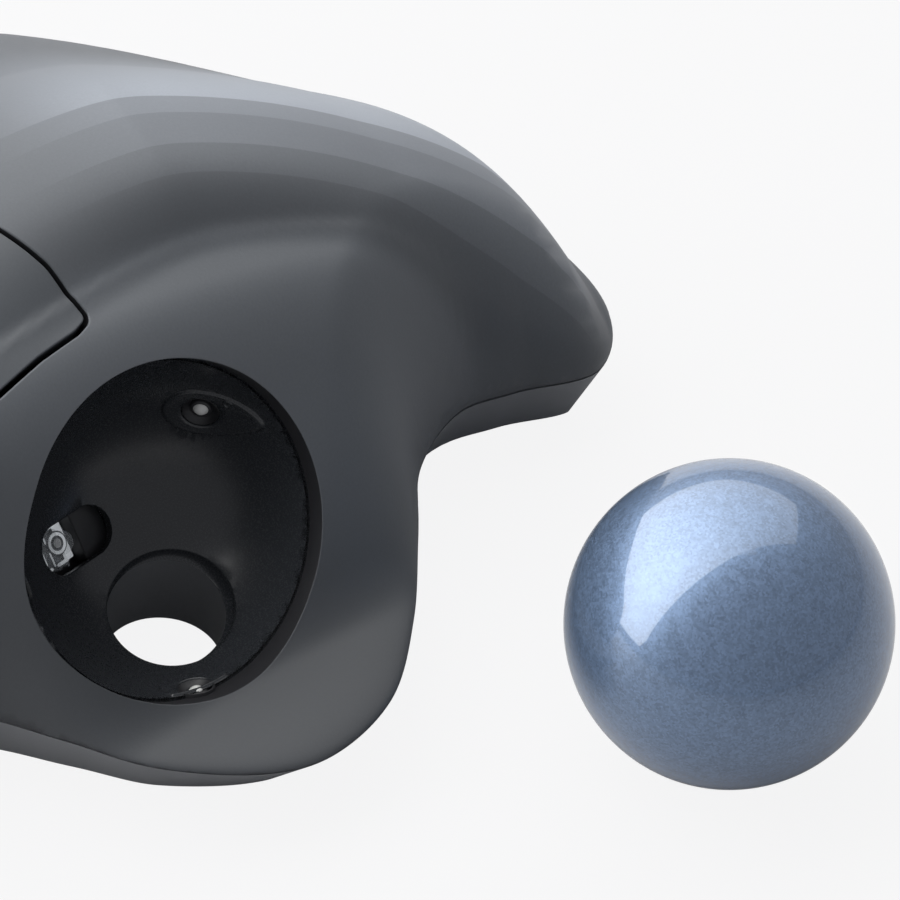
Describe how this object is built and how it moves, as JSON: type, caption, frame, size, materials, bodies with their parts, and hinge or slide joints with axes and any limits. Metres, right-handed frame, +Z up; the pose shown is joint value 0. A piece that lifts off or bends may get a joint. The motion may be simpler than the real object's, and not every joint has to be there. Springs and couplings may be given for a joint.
{
  "type": "trackball mouse",
  "caption": "Right-hand wireless thumb-operated trackball mouse with scroll wheel and side buttons, its ball lifted out beside it.",
  "frame": {"origin": "on the desk, at the underside of the middle foot, under the middle of the case", "axes": "+Y to the front, the button end; +X to the user's right; +Z up from the desk"},
  "size_m": [0.1219, 0.1415, 0.0481],
  "materials": {
    "upper_case": "satin, fine texture",
    "lower_case": "satin grey",
    "keys": "satin, fine texture",
    "bowl": "satin gloss",
    "ball": "pearl with clear coat",
    "bearing": "polished ceramic",
    "dark_plastic": "moulded",
    "tyre": "ribbed",
    "steel": "plated",
    "board": "solder mask",
    "lens": "clear moulded",
    "foot": "slick",
    "cell": "printed sleeve left bare",
    "chip": "moulded epoxy"
  },
  "bodies": {
    "case": {"top_shell": "upper_case", "bottom_shell": "lower_case", "ball_socket": "bowl", "bearing_cup_upper": "dark_plastic", "bearing_cup_lower": "dark_plastic", "bearing_cup_front": "dark_plastic", "bearing_ball_upper": "bearing", "bearing_ball_lower": "bearing", "bearing_ball_front": "bearing", "sensor_lens": "lens", "sensor_chip": "chip", "sensor_board": "board", "main_board": "board", "radio_chip": "chip", "left_click_switch": "chip", "right_click_switch": "chip", "back_switch": "chip", "forward_switch": "chip", "wheel_click_switch": "chip", "pairing_switch": "chip", "power_switch": "chip", "wheel_guide": "dark_plastic", "status_light_pipe": "lens", "status_lamp": "bearing", "battery": "cell", "battery_bay": "dark_plastic", "battery_contact_plus": "steel", "battery_spring": "steel", "receiver": "dark_plastic", "receiver_plug": "steel", "board_screws": "steel", "case_screws": "steel", "foot_middle": "foot", "foot_thumb_side": "foot", "foot_front_left": "foot", "foot_front_right": "foot", "foot_rear_right": "foot", "foot_rear_left": "foot"},
    "loose_ball": {"ball": "ball"},
    "left_key": {"left_button": "keys"},
    "right_key": {"right_button": "keys"},
    "back_key": {"back_button": "keys"},
    "forward_key": {"forward_button": "keys"},
    "wheel_carrier": {"wheel_yoke": "dark_plastic", "scroll_encoder": "chip", "wheel_axle": "steel"},
    "wheel": {"scroll_wheel": "dark_plastic", "wheel_tyre": "tyre"},
    "door": {"battery_door": "lower_case"},
    "power_knob": {"power_switch_knob": "dark_plastic"},
    "pair_key": {"pairing_button": "dark_plastic"}
  },
  "joints": [
    {"name": "ball_seat", "type": "hinge", "parent": "case", "child": "loose_ball", "pos_m": [-0.03198, -0.03544, 0.01065], "axis": [-0.6036, 0.4329, -0.6695], "range_deg": [0, 127.69]},
    {"name": "left_press", "type": "hinge", "parent": "case", "child": "left_key", "pos_m": [-0.001, 0.003, 0.041], "axis": [-1, 0, 0], "range_deg": [0, 1.1], "stiffness_Nm_per_rad": 1},
    {"name": "right_press", "type": "hinge", "parent": "case", "child": "right_key", "pos_m": [0.031, 0.003, 0.039], "axis": [-1, 0, 0], "range_deg": [0, 1.1], "stiffness_Nm_per_rad": 1},
    {"name": "back_press", "type": "slide", "parent": "case", "child": "back_key", "axis": [0.5, 0, -0.866], "range_m": [0, 0.0006], "stiffness_N_per_m": 800},
    {"name": "forward_press", "type": "slide", "parent": "case", "child": "forward_key", "axis": [0.5, 0, -0.866], "range_m": [0, 0.0006], "stiffness_N_per_m": 800},
    {"name": "wheel_press", "type": "slide", "parent": "case", "child": "wheel_carrier", "axis": [0, 0, -1], "range_m": [0, 0.0006], "stiffness_N_per_m": 900},
    {"name": "wheel_spin", "type": "hinge", "parent": "wheel_carrier", "child": "wheel", "pos_m": [0.015, 0.033, 0.0336], "axis": [1, 0, 0], "continuous": true},
    {"name": "door_slide", "type": "slide", "parent": "case", "child": "door", "axis": [0, -1, 0], "range_m": [0, 0.02]},
    {"name": "power_slide", "type": "slide", "parent": "case", "child": "power_knob", "axis": [1, 0, 0], "range_m": [0, 0.002]},
    {"name": "pair_press", "type": "slide", "parent": "case", "child": "pair_key", "axis": [0, 0, 1], "range_m": [0, 0.0007], "stiffness_N_per_m": 500}
  ]
}
